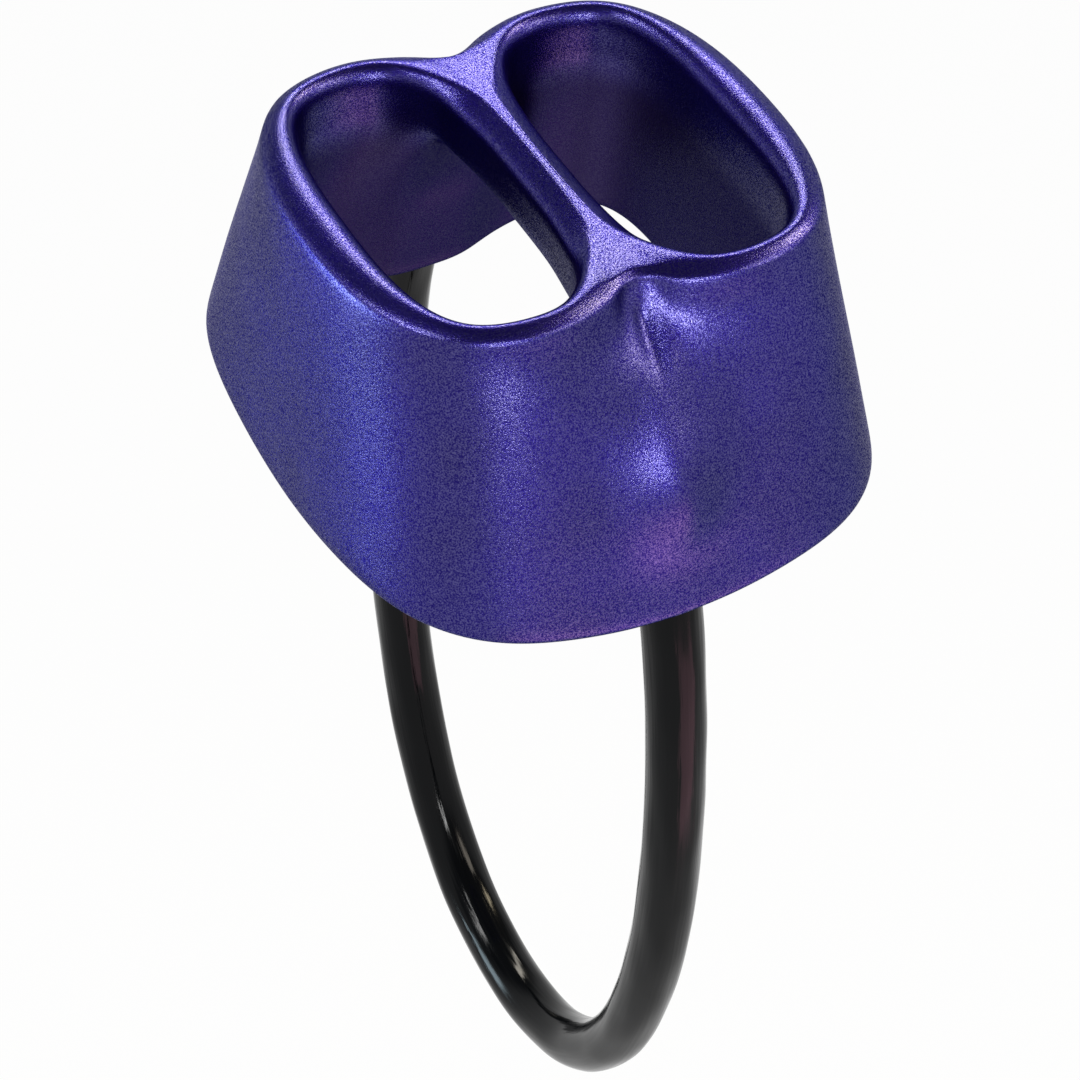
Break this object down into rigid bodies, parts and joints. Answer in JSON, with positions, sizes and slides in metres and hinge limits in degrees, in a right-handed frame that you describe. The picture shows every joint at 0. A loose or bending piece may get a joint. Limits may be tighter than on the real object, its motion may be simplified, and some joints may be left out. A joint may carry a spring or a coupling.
{
  "type": "tube belay device",
  "caption": "Flared forged tube with side-by-side rope slots divided by a rib, and a jacketed wire keeper loop whose ends are held in bosses under the rib's ends.",
  "frame": {"origin": "middle of the underside of the rib between the rope slots, where the carabiner bears and the device hangs", "axes": "+Z along the tube's axis, rope slots uppermost; X across the two slots; Y along the rib, with -Y the front in the picture; the keeper loop hangs in the YZ plane"},
  "size_m": [0.0514, 0.0652, 0.1174],
  "materials": {
    "anodised_alloy": "satin violet-blue anodising over a fine blasted forging skin",
    "sleeve_alloy": "plain pressed sleeve",
    "jacket_vinyl": "glossy black extruded jacket",
    "wire_steel": "galvanised wire rope"
  },
  "bodies": {
    "body": {"belay_body": "anodised_alloy", "swage_sleeve_front": "sleeve_alloy", "swage_sleeve_rear": "sleeve_alloy"},
    "keeper": {"keeper_jacket": "jacket_vinyl", "keeper_wire": "wire_steel"}
  },
  "joints": [
    {"name": "keeper_flex", "type": "hinge", "parent": "body", "child": "keeper", "pos_m": [0, 0, -0.0231], "axis": [0, 1, 0], "range_deg": [-35, 35], "stiffness_Nm_per_rad": 0.6, "deforming": ["keeper_jacket", "keeper_wire"]}
  ]
}
